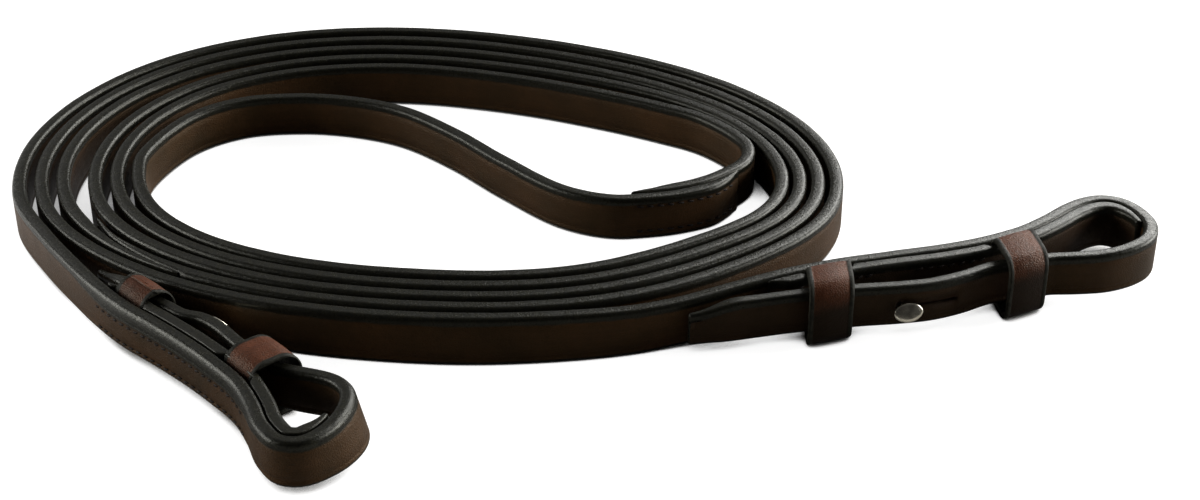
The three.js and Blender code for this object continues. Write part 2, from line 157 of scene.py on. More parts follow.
def spiral_point(degrees, is_right_arm):
    """A point of the oval spiral. The right arm runs half a turn behind the left one."""
    half_turns = (degrees - (180 if is_right_arm else 0)) / 180
    angle = math.radians(degrees)
    cos, sin = math.cos(angle), math.sin(angle)
    room = SPLICE_ROOM * smooth(half_turns - 2)
    side = SPIRAL_RIGHT if cos > 0 else SPIRAL_LEFT
    depth = SPIRAL_BACK if sin > 0 else SPIRAL_FRONT
    half_length = side[0] + side[1] * half_turns + (0 if cos > 0 else room)
    half_depth = depth[0] + depth[1] * half_turns
    x = half_length * cos * (1 + SPIRAL_SQUARENESS * sin * sin)
    y = half_depth * sin * (1 + SPIRAL_SQUARENESS * cos * cos)
    from_flat = (degrees - SPIRAL_FLAT_AT + 180) % 360 - 180
    scale = 1 - ((SPIRAL_FLAT[0] + SPIRAL_FLAT[1] * half_turns)
                 * math.exp(-((from_flat / SPIRAL_FLAT_WIDTH) ** 2)))
    if is_right_arm:
        scale += LOOP_ROOM * math.exp(-(((degrees - LOOP_ROOM_AT) / LOOP_ROOM_WIDTH) ** 2))
    x, y = x * scale, y * scale
    c, s = math.cos(SPIRAL_TURN), math.sin(SPIRAL_TURN)
    return SPIRAL_CENTRE + np.array([x * c - y * s, x * s + y * c])


def spiral_turns(start, end, is_right_arm, step):
    """Points of the spiral from one angle to another, in degrees."""
    count = round((end - start) / step)
    return [tuple(spiral_point(start + (end - start) * i / count, is_right_arm))
            for i in range(count + 1)]


class Route:
    """A strap's centre line in plan, measured by its arc length.

    It is a centripetal Catmull-Rom curve through the points.
    """

    SAMPLES = 24
    TANGENT_REACH = 0.5 * MM

    def __init__(self, points):
        p = np.array(points, float) - LAYOUT_CENTRE
        p = np.vstack([2 * p[0] - p[1], p, 2 * p[-1] - p[-2]])
        gaps = np.sqrt(np.linalg.norm(np.diff(p, axis=0), axis=1))
        t = np.linspace(0, 1, self.SAMPLES, endpoint=False)[:, None]
        spans = []
        for i in range(1, len(p) - 2):
            before, here, after = gaps[i - 1:i + 2]
            chord = (p[i + 1] - p[i]) / here
            out = ((p[i] - p[i - 1]) / before - (p[i + 1] - p[i - 1]) / (before + here)
                   + chord) * here
            into = (chord - (p[i + 2] - p[i]) / (here + after)
                    + (p[i + 2] - p[i + 1]) / after) * here
            rise = p[i + 1] - p[i]
            spans.append(p[i] + out * t + (3 * rise - 2 * out - into) * t ** 2
                         + (out + into - 2 * rise) * t ** 3)
        self.line = np.vstack([*spans, p[-2:-1]])
        steps = np.linalg.norm(np.diff(self.line, axis=0), axis=1)
        self.arc = np.concatenate([[0], np.cumsum(steps)])
        self.length = self.arc[-1]

    def at(self, s):
        s = np.asarray(s, float)
        return np.stack([np.interp(s, self.arc, self.line[:, k]) for k in (0, 1)], -1)

    def tangent(self, s):
        step = (self.at(np.minimum(s + self.TANGENT_REACH, self.length))
                - self.at(np.maximum(s - self.TANGENT_REACH, 0)))
        return step / np.linalg.norm(step, axis=-1, keepdims=True)

    def right_side(self, s):
        t = self.tangent(s)
        return np.stack([t[..., 1], -t[..., 0]], -1)

    def nearest(self, point, start=0.0, end=None):
        """Arc length of the place nearest to a layout point, between two limits."""
        s = np.arange(start, self.length if end is None else end, 0.25 * MM)
        away = self.at(s) - (np.array(point) - LAYOUT_CENTRE)
        return float(s[np.argmin(np.linalg.norm(away, axis=1))])


# The spiral's turns, from where each arm joins it to where it leaves for its billet.
right_rein_points = [*RIGHT_START, *spiral_turns(190, 1020, True, 10), *RIGHT_END]
right_rein_route = Route(right_rein_points)

# In the lap the left arm lies behind the right one, one thickness away.
lap_s = np.array([LAP_LENGTH, 28 * MM, 20 * MM, 12 * MM, 4 * MM])
lap_points = (right_rein_route.at(lap_s) + LAYOUT_CENTRE
              + right_rein_route.right_side(lap_s) * (2 * HALF + GAP))
left_rein_points = [*map(tuple, lap_points), *LEFT_START,
                    *spiral_turns(75, 930, False, 9.5), *LEFT_END]


class Billet:
    """One arm of the reins: its route on through the bit loop and back along the tongue.

    side is 1 for the right arm and -1 for the left. slide is the direction in which the
    tongue slides, in degrees. The other places are points of the layout, and each keeper
    has its depth.
    """

    REACH = 330 * MM              # of the rein's end, where the places are looked for

    def __init__(self, name, side, rein, tongue, slide, keepers, skew, stud,
                 liner, coil_end, apex):
        self.name, self.side, self.skew = name, side, skew
        self.rein = Route(rein)
        self.route = Route([*rein, *tongue])

        def find(point):
            return self.rein.nearest(point, self.rein.length - self.REACH)

        self.keepers = [(find(point), depth) for point, depth in keepers]
        self.stud_s = find(stud)
        self.liner_from, self.liner_to = find(liner[0]), find(liner[1])
        self.coil_end = find(coil_end)
        self.apex = find(apex)
        # The strap's second pass through the loop keeper, on its way back as the tongue.
        self.tongue_from = self.route.nearest(keepers[1][0], self.apex) - 3 * MM
        self.tongue_stud = self.route.nearest(stud, self.apex)
        slide = math.radians(slide)
        self.slide = np.array([math.cos(slide), math.sin(slide)])

    def lift(self, s):
        """How high the strap is carried off the floor by the keepers under it."""
        start, end = self.coil_end, self.keepers[0][0] - KEEPER_LENGTH / 2
        return BILLET_LIFT * smooth((s - start) / (end - start))

    def lean(self, s, xy):
        """How far the strap's upper edge leans back, as a share of height.

        The lean fades towards the far side and the right of the coil, and at its end.
        """
        x, y = np.moveaxis((xy + LAYOUT_CENTRE) / MM, -1, 0)
        coil = COIL_LEAN * smooth((10 - y) / 45) * smooth((95 - x) / 30)
        return coil * (1 - smooth((s - self.coil_end + 30 * MM) / (60 * MM)))

    def splay(self, s):
        """How far the foot of the left loop's far wall stands out, as a share of height."""
        if self.side > 0:
            return 0 * s
        return LOOP_SPLAY * smooth(1 - np.abs(s - self.apex) / SPLAY_REACH)

    def frame_at(self, s, direction=None):
        """Origin, along and across on the rein: across points from it to the tongue."""
        d = self.rein.tangent(s) if direction is None else direction
        across = np.array([d[1], -d[0]]) * self.side
        along = np.array([across[1], -across[0]])
        return self.rein.at(s), along, across


RIGHT = Billet(
    "right", 1, right_rein_points, RIGHT_TONGUE, slide=196,
    keepers=[((0.059, -0.0334), 14.4 * MM), ((0.1096, -0.0174), 16.8 * MM)], skew=0.34,
    stud=(0.0764, -0.0285), liner=((0.043, -0.0396), (0.1512, -0.0105)),
    coil_end=(0.005, -0.054), apex=(0.151, -0.0125))
LEFT = Billet(
    "left", -1, left_rein_points, LEFT_TONGUE, slide=139,
    keepers=[((-0.1242, -0.052), 10.8 * MM), ((-0.091, -0.0846), 15.5 * MM)], skew=0,
    stud=(-0.1075, -0.0674), liner=((-0.1308, -0.0444), (-0.0613, -0.104)),
    coil_end=(-0.165, 0.012), apex=(-0.0598, -0.097))


# ---- Meshes ----------------------------------------------------------------------

def skin(name, rings, along, rim, material, closed=False, holes=()):
    """A closed mesh over a row of rings, shape (stations, points, 3).

    along is the arc length of each station and rim each point's distance from a cut
    edge, which the leather's dye follows. holes are (first, last, row a, row b): between
    those stations the two rows of quads are open, and their sides are joined through.
    """
    count, size = rings.shape[:2]
    points = rings.reshape(-1, 3)
    steps = np.linalg.norm(np.diff(rings[count // 2], axis=0, append=rings[count // 2][:1]),
                           axis=1)
    around = np.concatenate([[0], np.cumsum(steps)])
    reach = np.append(along, 2 * along[-1] - along[-2]) if closed else along
    open_quads = {(i, j) for first, last, a, b in holes
                  for i in range(first, last) for j in (a, b)}
    faces, uvs = [], []
    for i in range(count if closed else count - 1):
        for j in range(size):
            if (i, j) in open_quads:
                continue
            i2, j2 = (i + 1) % count, (j + 1) % size
            faces.append((i * size + j, i * size + j2, i2 * size + j2, i2 * size + j))
            uvs += [(reach[i], around[j]), (reach[i], around[j + 1]),
                    (reach[i + 1], around[j + 1]), (reach[i + 1], around[j])]
    for first, last, a, b in holes:
        for i in range(first, last):
            for one, other in ((a + 1, b), (a, b + 1)):
                faces.append((i * size + one, i * size + other,
                              (i + 1) * size + other, (i + 1) * size + one))
                uvs += [(reach[i], 0), (reach[i], HALF), (reach[i + 1], HALF),
                        (reach[i + 1], 0)]
    caps = []
    if not closed:
        points = np.vstack([points, rings[0].mean(0), rings[-1].mean(0)])
        rim = np.concatenate([rim.ravel(), [0, 0]])
        for centre, first in ((len(points) - 2, 0), (len(points) - 1, (count - 1) * size)):
            for j in range(size):
                caps.append(len(faces))
                faces.append((first + j, first + (j + 1) % size, centre))
                uvs += [(0, around[j]), (0, around[j + 1]), (HALF, around[j])]
    mesh = bpy.data.meshes.new(name)
    mesh.from_pydata(points.tolist(), [], faces)
    mesh.attributes.new("rim", "FLOAT", "POINT").data.foreach_set(
        "value", np.asarray(rim, np.float32).ravel())
    mesh.uv_layers.new(name="UVMap").data.foreach_set(
        "uv", np.array(uvs, np.float32).ravel())
    tidy(mesh, set(caps))
    return piece(name, mesh, material)


def tidy(mesh, flat_faces=frozenset()):
    """Merges doubled points, turns faces outward and smooths all but the flat ones."""
    bm = bmesh.new()
    bm.from_mesh(mesh)
    bm.faces.ensure_lookup_table()
    for face in bm.faces:
        face.smooth = True
    for index in flat_faces:
        for edge in bm.faces[index].edges:
            if any(other.index not in flat_faces for other in edge.link_faces):
                edge.smooth = False
    bmesh.ops.remove_doubles(bm, verts=bm.verts, dist=1e-6)
    bmesh.ops.dissolve_degenerate(bm, edges=bm.edges, dist=1e-7)
    bmesh.ops.recalc_face_normals(bm, faces=bm.faces)
    bm.to_mesh(mesh)
    bm.free()


def piece(name, mesh, material):
    """An object in the scene for a mesh."""
    made = bpy.data.objects.new(name, mesh)
    bpy.context.scene.collection.objects.link(made)
    mesh.materials.append(material)
    return made


QUARTER = np.linspace(0, math.pi / 2, 6)
CORNER = 1.2 * MM             # the rounding of a strap's dressed edges
CREASE_INSET = 2.1 * MM       # from an edge to the creased line beside it
CREASE_HALF = 0.32 * MM
CREASE_DEPTH = 0.16 * MM
DYE_WIDTH = 2.2 * MM          # down a face from its upper edge
LOW_DYE_WIDTH = 1.0 * MM


def strap_section(a, b, low, high, shoulder=None, middle=None, dye_high=None,
                  corners=(CORNER, CORNER)):
    """Rings round a strap between its faces a and b and its edges low and high.

    All are arrays along the strap. corners are the rounding at the edges of face a and
    of face b. shoulder widens it at the top of face b, and dye_high is how far the dye
    comes down there. middle gives the heights of the two rows that lie across the middle
    of each face. Returns offsets, heights and rim distances, each (stations, points).
    """
    a, b, low, high = np.broadcast_arrays(a, b, low, high)
    a, b = np.minimum(a, b), np.maximum(a, b)
    r_a, r = (np.minimum(corner, 0.45 * (b - a)) for corner in corners)
    top_r = r if shoulder is None else np.maximum(r, shoulder)
    top_x = np.minimum(top_r, 1.25 * r)
    width = high - low
    rows = (low + width / 3, low + 2 * width / 3) if middle is None else middle
    turn, rise = 1 - np.cos(QUARTER), np.sin(QUARTER)
    put_x, put_z = [], []

    def put(x, z):
        put_x.append(np.broadcast_to(x, a.shape))
        put_z.append(np.broadcast_to(z, a.shape))

    def crease(face, inward, centre, upward):
        for where, depth in ((-1, 0), (0, CREASE_DEPTH), (1, 0)):
            put(face + inward * depth, centre + upward * where * CREASE_HALF)

    for c, s in zip(turn, rise):
        put(a + r_a * c, low + r_a * (1 - s))
    for c, s in zip(turn[::-1], rise[::-1]):
        put(b - r * c, low + r * (1 - s))
    crease(b, -1, low + CREASE_INSET, 1)
    put(b, rows[0])
    put(b, rows[1])
    crease(b, -1, high - np.maximum(CREASE_INSET, top_r + 1.5 * CREASE_HALF), 1)
    for c, s in zip(turn, rise):
        put(b - top_x * c, high - top_r * (1 - s))
    for c, s in zip(turn[::-1], rise[::-1]):
        put(a + r_a * c, high - r_a * (1 - s))
    crease(a, 1, high - CREASE_INSET, -1)
    put(a, rows[1])
    put(a, rows[0])
    crease(a, 1, low + CREASE_INSET, -1)

    x, z = np.stack(put_x, -1), np.stack(put_z, -1)
    on_b = x > (a + b)[:, None] / 2
    dye_b = DYE_WIDTH if dye_high is None else dye_high[:, None]
    dye = np.where(on_b, dye_b, DYE_WIDTH)
    rim = np.minimum((z - low[:, None]) / LOW_DYE_WIDTH, (high[:, None] - z) / dye)
    return x, z, rim


# The two rows of quads across the middle of the section's faces, for the slit: the
# numbers of the points that they start at.
SLIT_ROW_B = 2 * len(QUARTER) + 3
SLIT_ROW_A = 4 * len(QUARTER) + 11


def wander(values, scale, seed):
    """Smooth noise from -1 to 1 along a strap, one value for each arc length."""
    return np.array([noise.noise(Vector((v / scale, seed, 0.5))) for v in values])


# How a cut end is rounded off: (distance from the end, inset) at its last stations.
END_TRIM = [(0.0, 0.55 * MM), (0.12 * MM, 0.25 * MM), (0.45 * MM, 0.05 * MM)]
END_TRIM_LENGTH = 0.8 * MM


def strap(name, arm, start, end, shape, material, seed, step=1.6 * MM,
          trim=(True, True), fine=None, holes_at=None):
    """A strap lying along an arm's route from one arc length to another.

    shape(s) gives strap_section's values. trim says which ends are rounded off. fine is
    (start, end, step) of a stretch whose stations lie closer, and holes_at(s) gives the
    hole that skin leaves open.
    """
    count = max(4, round((end - start) / step))
    s = np.linspace(start, end, count + 1)
    if fine is not None:
        extra = np.linspace(max(start, fine[0]), min(end, fine[1]),
                            round((fine[1] - fine[0]) / fine[2]) + 1)
        s = np.unique(np.round(np.concatenate(
            [s[(s < extra[0] - step / 3) | (s > extra[-1] + step / 3)], extra]), 8))
    inset = np.zeros_like(s)
    if trim[0]:
        s = np.concatenate([[start + d for d, _ in END_TRIM],
                            s[s > start + END_TRIM_LENGTH]])
        inset = np.concatenate([[i for _, i in END_TRIM], np.zeros(len(s) - len(END_TRIM))])
    if trim[1]:
        keep = s < end - END_TRIM_LENGTH
        s = np.concatenate([s[keep], [end - d for d, _ in END_TRIM[::-1]]])
        inset = np.concatenate([inset[keep], [i for _, i in END_TRIM[::-1]]])
    x, z, rim = strap_section(**shape(s))
    centre_x, centre_z = x.mean(1, keepdims=True), z.mean(1, keepdims=True)
    shrink_x = np.maximum(0.3, 1 - inset[:, None] / (np.ptp(x, axis=1)[:, None] / 2))
    shrink_z = 1 - inset[:, None] / (np.ptp(z, axis=1)[:, None] / 2)
    x = centre_x + (x - centre_x) * shrink_x
    z = centre_z + (z - centre_z) * shrink_z
    rim = np.where(inset[:, None] > 0.1 * MM, 0, rim)
    # Hand-cut edges wander by about a tenth of a millimetre.
    top = np.clip((z - centre_z) / (STRAP_WIDTH / 2), 0, 1)
    upper = 0.1 * wander(s, 22 * MM, seed) + 0.05 * wander(s, 5 * MM, seed + 3)
    sides = 0.05 * wander(s, 17 * MM, seed + 7)
    z = z + top * upper[:, None] * MM
    x = x + np.sign(x - centre_x) * sides[:, None] * MM
    x = x - arm.splay(s)[:, None] * (z - SPLAY_HEIGHT)
    xy = arm.route.at(s)[:, None] + arm.route.right_side(s)[:, None] * x[..., None]
    y = xy[..., 1] + arm.lean(s[:, None], xy) * z
    rings = np.stack([xy[..., 0], y, z + arm.lift(s)[:, None]], -1)
    holes = [] if holes_at is None else [holes_at(s)]
    return skin(name, rings, s, rim, material, holes=holes)


# ---- Materials ---------------------------------------------------------------------

class Nodes:
    """A short way to write a material's node tree."""

    MIX_SOCKETS = {"FLOAT": (2, 3, 0), "RGBA": (6, 7, 2)}     # A, B and the result

    def __init__(self, name):
        self.material = bpy.data.materials.new(name)
        self.material.use_nodes = True
        self.tree = self.material.node_tree
        self.shader = self.tree.nodes["Principled BSDF"]

    def add(self, kind, **values):
        node = self.tree.nodes.new("ShaderNode" + kind)
        for key, value in values.items():
            if hasattr(node, key):
                setattr(node, key, value)
            else:
                self.set(node, key.replace("_", " "), value)
        return node

    def set(self, node, socket, value):
        target = node.inputs[socket]
        if isinstance(value, bpy.types.NodeSocket):
            self.tree.links.new(value, target)
        else:
            target.default_value = value

    def noise(self, scale, detail=3.0, roughness=0.55, stretch=None):
        node = self.add("TexNoise", Scale=scale, Detail=detail, Roughness=roughness)
        self.set(node, "Vector", self.place(stretch))
        return node.outputs["Fac"]

    def place(self, stretch=None):
        """Object coordinates, or those along the strap when a stretch is given."""
        coordinates = self.add("TexCoord")
        if stretch is None:
            return coordinates.outputs["Object"]
        mapping = self.add("Mapping")
        self.set(mapping, "Vector", coordinates.outputs["UV"])
        self.set(mapping, "Scale", stretch)
        return mapping.outputs["Vector"]

    def math(self, operation, a, b):
        node = self.add("Math", operation=operation)
        self.set(node, 0, a)
        self.set(node, 1, b)
        return node.outputs[0]

    def ranged(self, value, low, high, to_low, to_high, kind="LINEAR"):
        node = self.add("MapRange", interpolation_type=kind)
        for socket, number in zip(("Value", "From Min", "From Max", "To Min", "To Max"),
                                  (value, low, high, to_low, to_high)):
            self.set(node, socket, number)
        return node.outputs["Result"]

    def mix(self, factor, a, b, kind="RGBA"):
        node = self.add("Mix", data_type=kind)
        socket_a, socket_b, result = self.MIX_SOCKETS[kind]
        self.set(node, 0, factor)
        self.set(node, socket_a, a)
        self.set(node, socket_b, b)
        return node.outputs[result]

    def bump(self, height, strength, distance, before=None):
        node = self.add("Bump", Strength=strength, Distance=distance)
        self.set(node, "Height", height)
        if before is not None:
            self.set(node, "Normal", before)
        return node.outputs["Normal"]

    def shade(self, **values):
        for key, value in values.items():
            self.set(self.shader, key.replace("_", " "), value)
        return self.material


def srgb(r, g, b):
    """A linear colour from display values of 0 to 255."""
    linear = [((v / 255 + 0.055) / 1.055) ** 2.4 if v > 10 else v / 255 / 12.92
              for v in (r, g, b)]
    return (*linear, 1)


def leather(name, face_dark, face_light, dye_dark, dye_light, face_gloss, dye_gloss,
            specular=0.2, painted_shade_by_height=False):
    """Waxed bridle leather: grained faces, and dyed and burnished edges.

    With the height switch on, the face colour lightens with height: painted shade low down
    and painted light up top, standing in for how the light falls.
    """
    n = Nodes(name)
    tone_and_height_shade = n.ranged(n.noise(48, 4), 0.32, 0.68, 0, 1)
    if painted_shade_by_height:
        # Painted shade and painted light: the face is darker low down and lighter up top.
        split = n.add("SeparateXYZ")
        n.set(split, "Vector", n.place())
        height = n.math("ADD", split.outputs["Z"], n.ranged(tone_and_height_shade, 0, 1, -0.002, 0.002))
        tone_and_height_shade = n.ranged(height, 0.011, 0.0185, 0, 1.3, "SMOOTHSTEP")
    streak = n.ranged(n.noise(1, 3, stretch=(60, 900, 1)), 0.35, 0.65, 0, 1)
    speck = n.ranged(n.noise(900, 2), 0.35, 0.7, 0, 1)
    face = n.mix(n.math("MULTIPLY", tone_and_height_shade, 0.75), face_dark, face_light)
    face = n.mix(n.math("MULTIPLY", streak, 0.3), face, face_dark)
    face = n.mix(n.ranged(n.noise(1700, 2), 0.5, 0.72, 0, 0.55), face, face_dark)
    dye = n.mix(speck, dye_dark, dye_light)
    rim = n.add("Attribute", attribute_name="rim").outputs["Fac"]
    ragged = n.math("ADD", rim, n.ranged(n.noise(260, 3), 0, 1, -0.16, 0.16))
    on_face = n.ranged(ragged, 0.86, 1.14, 0, 1, "SMOOTHSTEP")
    cells = n.add("TexVoronoi", feature="DISTANCE_TO_EDGE", Scale=1500.0)
    n.set(cells, "Vector", n.place())
    pores = n.ranged(cells.outputs["Distance"], 0, 0.35, 0, 1)
    grain = n.math("MULTIPLY", pores, n.ranged(on_face, 0, 1, 0.2, 0.6))
    fibre = n.math("MULTIPLY", n.noise(1400, 4, 0.7), n.ranged(on_face, 0, 1, 1.0, 0.25))
    wrinkle = n.noise(1, 2, stretch=(420, 130, 1))
    normal = n.bump(n.math("ADD", grain, fibre), 0.7, 0.00015)
    normal = n.bump(wrinkle, 0.35, 0.0002, normal)
    face_rough = n.ranged(tone_and_height_shade, 0, 1, face_gloss + 0.08, face_gloss)
    dye_rough = n.ranged(speck, 0, 1, dye_gloss + 0.1, dye_gloss - 0.04)
    return n.shade(Base_Color=n.mix(on_face, dye, face),
                   Roughness=n.mix(on_face, dye_rough, face_rough, "FLOAT"),
                   Normal=normal, Specular_IOR_Level=specular,
                   Specular_Tint=n.mix(on_face, DYE_SHEEN, FACE_SHEEN))


def waxed_thread(name):
    """Dark twisted thread."""
    n = Nodes(name)
    ply = n.add("TexWave", bands_direction="DIAGONAL", Scale=900.0, Distortion=1.5)
    n.set(ply, "Vector", n.place())
    colour = n.mix(n.noise(600), srgb(9, 7, 5), srgb(34, 22, 15))
    normal = n.bump(ply.outputs["Fac"], 0.5, 0.0001)
    return n.shade(Base_Color=colour, Roughness=n.ranged(n.noise(500), 0, 1, 0.6, 0.85),
                   Normal=normal, Specular_IOR_Level=0.2)


def nickel(name):
    """Polished nickel, a little worn and scratched."""
    n = Nodes(name)
    worn = n.noise(350, 4)
    scratches = n.noise(900, 2, stretch=(40, 2500, 1))
    colour = n.mix(worn, srgb(196, 188, 168), srgb(226, 221, 206))
    return n.shade(Base_Color=colour, Metallic=1.0,
                   Roughness=n.ranged(worn, 0.3, 0.7, 0.14, 0.3),
                   Normal=n.bump(scratches, 0.12, 0.00005))


FACE_SHEEN = (1.0, 0.72, 0.44, 1)     # the waxed faces warm what they reflect
DYE_SHEEN = (1.0, 0.99, 0.84, 1)
DYE = (srgb(10, 10, 7), srgb(30, 29, 22))
rein_leather = leather("rein_leather", srgb(38, 27, 14), srgb(69, 46, 26),
                       *DYE, 0.44, 0.27)
billet_leather = leather("billet_leather", srgb(30, 21, 13), srgb(52, 35, 22),
                         *DYE, 0.46, 0.29)
# The keepers' faces carry painted shade low down and painted light up top, set by height.
keeper_leather = leather("keeper_leather", srgb(17, 10, 7), srgb(84, 46, 29),
                         *DYE, 0.46, 0.58, specular=0.14, painted_shade_by_height=True)
thread = waxed_thread("waxed_thread")
stud_metal = nickel("polished_nickel")


# ---- The reins' straps ---------------------------------------------------------------

def skived_face(s):
    """Offset of the face that is pared thin at the strap's first end, in the lap."""
    feather = SKIVE_FEATHER * (1 - smooth(s / FEATHER_LENGTH))
    return HALF - SKIVE * (1 - smooth(s / SKIVE_LENGTH)) - feather


def billet_share(arm, s):
    """1 along a billet and its loop, 0 in the coil."""
    return smooth((s - arm.liner_from + 14 * MM) / (24 * MM))


def towards_tongue(arm, s):
    """0 up to the loop's far end and 1 where the strap has become the tongue."""
    return smooth((s - arm.apex) / (arm.tongue_from - arm.apex))


def right_shape(s):
    """The right arm's section, from the lap round to the tongue."""
    turn = towards_tongue(RIGHT, s)
    half = HALF - (HALF - TONGUE_HALF) * turn
    return dict(a=-np.minimum(skived_face(s), half), b=half, low=0 * s,
                high=STRAP_WIDTH - (STRAP_WIDTH - TONGUE_WIDTH) * turn)


def left_extras(s):
    """The left billet's upper edge is broadly rounded and dyed on its outer face."""
    to_loop = smooth((s - LEFT.liner_to + 45 * MM) / (25 * MM))
    share = billet_share(LEFT, s) * (1 - 0.85 * to_loop)
    return dict(shoulder=CORNER + 1.6 * MM * share, dye_high=DYE_WIDTH + 2.2 * MM * share)


splice_start = LEFT.rein.nearest((-0.1525, 0.042), 0.9, LEFT.rein.length - 0.7)
splice_end = splice_start + SPLICE_LENGTH


def splice_cut(s):
    """The share of the splice passed, and the offset of the slanting cut there."""
    u = np.clip((s - splice_start) / SPLICE_LENGTH, 0, 1)
    return u, -HALF + (2 * HALF - 0.4 * MM) * u


def left_inner_shape(s):
    """The left arm's section from the lap to the far end of the splice."""
    u, cut = splice_cut(s)
    return dict(a=np.where(u > 0, cut + GAP / 2, -skived_face(s)),
                b=HALF + 0.4 * MM * u, low=0 * s, high=STRAP_WIDTH + 0 * s)


def left_outer_shape(s):
    """The left arm's section from the splice to the tongue. Its thin tip curls away."""
    u, cut = splice_cut(s)
    tip_curl = 1.1 * MM * (1 - smooth((s - splice_start) / (14 * MM)))
    turn = towards_tongue(LEFT, s)
    half = HALF - (HALF - TONGUE_HALF) * turn
    past = s > splice_end
    return dict(a=np.where(past, -half, -HALF - 0.7 * MM * (1 - u) - tip_curl),
                b=np.where(past, half, cut - GAP / 2 - tip_curl), low=0 * s,
                high=STRAP_WIDTH - (STRAP_WIDTH - TONGUE_WIDTH) * turn, **left_extras(s))


SLIT_LENGTH = 16 * MM
SLIT_HALF = 0.5 * MM
STUD_HOLE = 1.4 * MM


def slit_reach(arm, s):
    """Half the height of the slit and its round hole at each arc length, or 0."""
    from_stud = s - arm.tongue_stud
    hole = np.sqrt(np.clip(STUD_HOLE ** 2 - from_stud ** 2, 0, None))
    in_slit = (from_stud < 0) & (from_stud > -SLIT_LENGTH)
    tail = np.clip((from_stud + SLIT_LENGTH) / (1.5 * MM), 0, 1)
    return np.maximum(hole, np.where(in_slit, SLIT_HALF * np.sqrt(tail), 0))


def tongue_shape(arm):
    """The section of a tongue, which narrows and thins towards its tip."""
    tip = arm.route.length

    def shape(s):
        narrow = 2.6 * MM * (1 - smooth((tip - s) / (14 * MM)))
        half = TONGUE_HALF - 0.9 * MM * (1 - smooth((tip - s) / (12 * MM)))
        reach = slit_reach(arm, s)
        # Beyond the slit's ends its two rows of points draw apart again.
        ends = np.array([arm.tongue_stud - SLIT_LENGTH, arm.tongue_stud + STUD_HOLE])
        beyond = np.maximum(ends[0] - s, s - ends[1])
        reach = np.where(beyond > 0, 1.5 * MM * smooth(beyond / (6 * MM)), reach)
        centre = STUD_HEIGHT - BILLET_LIFT + 0 * s
        extras = left_extras(s) if arm is LEFT else {}
        return dict(a=-half, b=half, low=0 * s, high=TONGUE_WIDTH - narrow,
                    middle=(centre - reach, centre + reach), **extras)

    return shape


def slit_stations(arm):
    """The stations between which the tongue's slit and hole are open, for skin."""
    def find(s):
        inside = np.nonzero((s > arm.tongue_stud - SLIT_LENGTH - 1e-6)
                            & (s < arm.tongue_stud + STUD_HOLE + 1e-6))[0]
        return int(inside[0]), int(inside[-1]), SLIT_ROW_B, SLIT_ROW_A
    return find


def bent_end(arm, shape, seed):
    """The strap from the bit loop's far end to its keeper."""
    wall = strap(f"{arm.name}_loop_wall", arm, arm.apex, arm.tongue_from, shape,
                 rein_leather, seed, step=0.9 * MM, trim=(False, False))
    start = arm.route.at(arm.apex)
    end = arm.route.at(arm.tongue_from - 4 * MM)
    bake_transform(wall)


def tongue_piece(arm, seed):
    """The strap's folded-back end, open at the slit where the stud's neck stands."""
    slit = (arm.tongue_stud - SLIT_LENGTH, arm.tongue_stud + STUD_HOLE)
    made = strap(f"{arm.name}_tongue_strap", arm, arm.tongue_from, arm.route.length,
                 tongue_shape(arm), billet_leather, seed, step=1.2 * MM,
                 trim=(False, True), fine=(*slit, 0.3 * MM), holes_at=slit_stations(arm))
    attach(made, f"{arm.name}_tongue")
    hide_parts(f"{arm.name}_tongue")


def rein_strap(name, arm, start, end, shape, seed, trim, node):
    """A strap of the coil."""
    # The stations lie closer at the bit loop.
    fine = (end - 12 * MM, end, 0.9 * MM) if not trim[1] else None
    made = strap(name, arm, start, end, shape, rein_leather, seed, trim=trim, fine=fine)
    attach(made, "reins")
    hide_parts(node)
    s = np.linspace(start, end, round((end - start) / (6 * MM)))
    xy = arm.route.at(s)
    heights = STRAP_WIDTH / 2 + arm.lift(s)


rein_strap("right_rein_strap", RIGHT, 0, RIGHT.apex, right_shape, 1.0,
           (True, False), "right_rein")
rein_strap("left_rein_inner_strap", LEFT, 0, splice_end, left_inner_shape, 2.0,
           (True, True), "left_rein_inner_length")
rein_strap("left_rein_outer_strap", LEFT, splice_start, LEFT.apex, left_outer_shape, 3.0,
           (True, False), "left_rein_outer_length")
bent_end(RIGHT, right_shape, 1.0)
bent_end(LEFT, left_outer_shape, 3.0)
tongue_piece(RIGHT, 4.0)
tongue_piece(LEFT, 5.0)


# ---- Liners, keepers, studs ------------------------------------------------------------

def liner(arm, seed):
    """The billet's inner ply, hollowed behind where the keepers pass."""
    face = HALF + GAP
    recess = KEEPER_GAP + KEEPER_BACK_WALL
    fade = 10 * MM if arm is LEFT else 16 * MM
    snug = 0.4 * MM               # the edge that lies against the rein is hardly rounded
    corners = (snug, CORNER) if arm is RIGHT else (CORNER, snug)

    def shape(s):
        start = smooth((s - arm.liner_from) / (6 * MM))
        end = smooth((arm.liner_to - s) / fade)
        thin = np.where(s < arm.liner_from + 20 * MM, 0.8 * MM, LINER_END)
        thickness = thin + (LINER_THICKNESS - thin) * np.minimum(start, end)
        hollow = 0 * s
        for keeper_s, _ in arm.keepers:
            inside = KEEPER_LENGTH / 2 + 1.3 * MM - np.abs(s - keeper_s)
            hollow = np.maximum(hollow, smooth(inside / MM))
        return dict(a=arm.side * (face + recess * hollow), b=arm.side * (face + thickness),
                    low=0 * s, high=STRAP_WIDTH - 0.1 * MM + 0 * s, corners=corners)

    made = strap(f"{arm.name}_billet_liner", arm, arm.liner_from, arm.liner_to, shape,
                 billet_leather, seed, step=1.1 * MM)
    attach(made, "reins")
    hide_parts(f"{arm.name}_liner")


